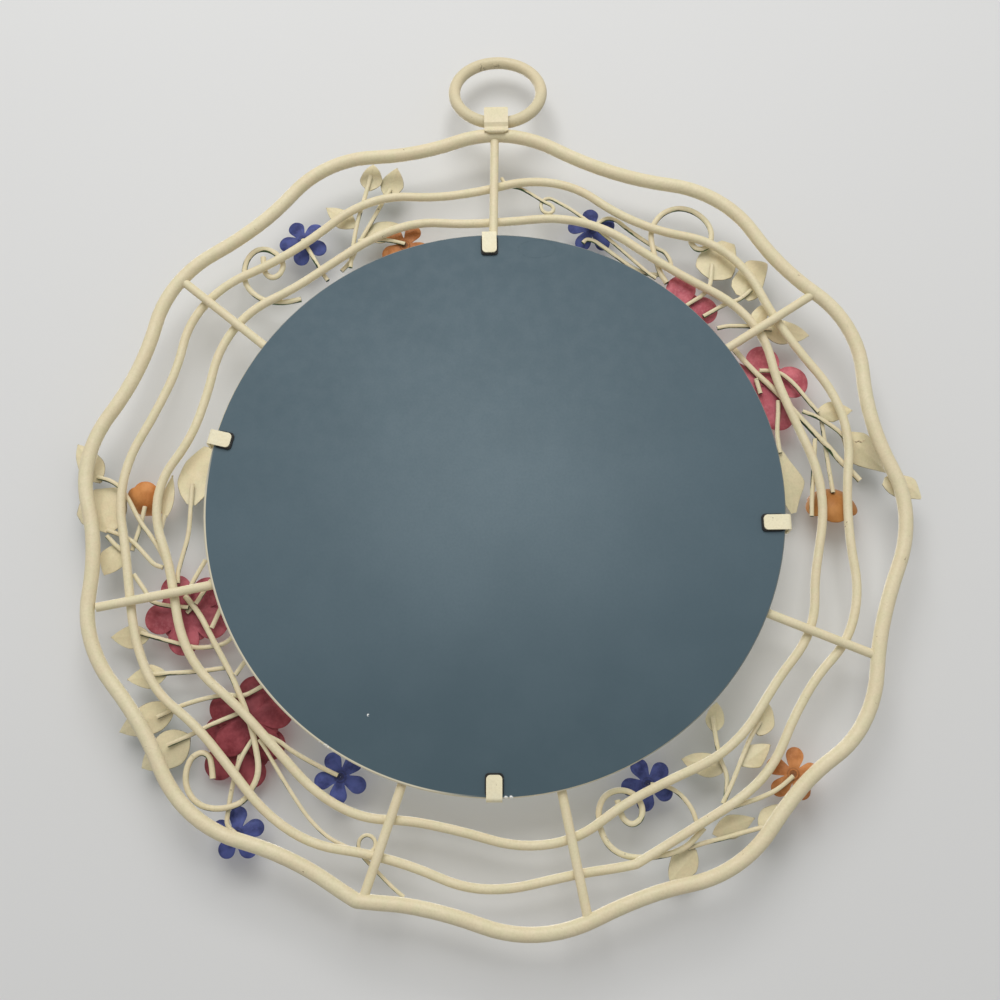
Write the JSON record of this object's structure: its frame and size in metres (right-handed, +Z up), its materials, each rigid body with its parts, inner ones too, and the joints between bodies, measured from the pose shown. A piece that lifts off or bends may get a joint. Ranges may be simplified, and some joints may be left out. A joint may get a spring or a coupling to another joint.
{
  "type": "wall mirror",
  "caption": "Round wall mirror in a frame of wavy wire hoops with scrolls, leaves and stamped blossoms, bent glass clips and a swinging hanging ring.",
  "frame": {"origin": "on the hinge line of the hanging ring, in the middle of its strap at the top of the outer hoop", "axes": "+Z up as hung, -Y the reflecting front with the flowers, +Y the wall side, +X to the viewer's right of the front"},
  "size_m": [0.4547, 0.0353, 0.4975],
  "materials": {
    "cream_paint": "brushed cream enamel on steel rod, satin",
    "leaf_paint": "cream backs, green fronts, satin",
    "purple_paint": "brushed enamel on sheet, satin",
    "orange_paint": "brushed enamel on sheet, satin",
    "pink_paint": "brushed enamel on sheet, satin",
    "pad_rubber": "matt black strip",
    "mirror_glass": "silvered front, grey-blue paint on the back"
  },
  "bodies": {
    "frame": {"clip_bottom": "cream_paint", "clip_left": "cream_paint", "clip_pad_bottom": "pad_rubber", "clip_pad_left": "pad_rubber", "clip_pad_right": "pad_rubber", "clip_pad_top": "pad_rubber", "clip_right": "cream_paint", "clip_top": "cream_paint", "hanger_strap": "cream_paint", "inner_hoop": "cream_paint", "leaves_a": "leaf_paint", "leaves_b": "leaf_paint", "leaves_c": "leaf_paint", "leaves_d_lower": "leaf_paint", "leaves_d_upper": "leaf_paint", "leaves_e": "leaf_paint", "main_stem_c": "cream_paint", "main_stem_d": "cream_paint", "middle_hoop": "cream_paint", "mirror_glass": "mirror_glass", "mirror_seat_ring": "cream_paint", "orange_blossom_a": "orange_paint", "orange_blossom_c": "orange_paint", "orange_blossom_d": "orange_paint", "orange_blossom_e": "orange_paint", "outer_hoop": "cream_paint", "pink_blossom_b": "pink_paint", "pink_blossom_c": "pink_paint", "pink_blossom_d1": "pink_paint", "pink_blossom_d2": "pink_paint", "pink_blossom_d3": "pink_paint", "purple_blossom_a": "purple_paint", "purple_blossom_b": "purple_paint", "purple_blossom_d1": "purple_paint", "purple_blossom_d2": "purple_paint", "purple_blossom_e": "purple_paint", "scroll_a": "cream_paint", "scroll_b": "cream_paint", "scroll_e": "cream_paint", "spoke_1": "cream_paint", "spoke_2": "cream_paint", "spoke_3": "cream_paint", "spoke_4": "cream_paint", "spoke_5": "cream_paint", "spoke_6": "cream_paint", "spoke_7": "cream_paint", "stems_a": "cream_paint", "stems_b": "cream_paint", "stems_c": "cream_paint", "stems_d_lower": "cream_paint", "stems_d_upper": "cream_paint", "stems_e": "cream_paint", "tendril_b": "cream_paint", "tendril_d": "cream_paint"},
    "hanging_ring": {"hanging_ring": "cream_paint"}
  },
  "joints": [
    {"name": "ring_swing", "type": "hinge", "parent": "frame", "child": "hanging_ring", "pos_m": [0, 0, 0], "axis": [1, 0, 0], "range_deg": [-121, 88]}
  ]
}
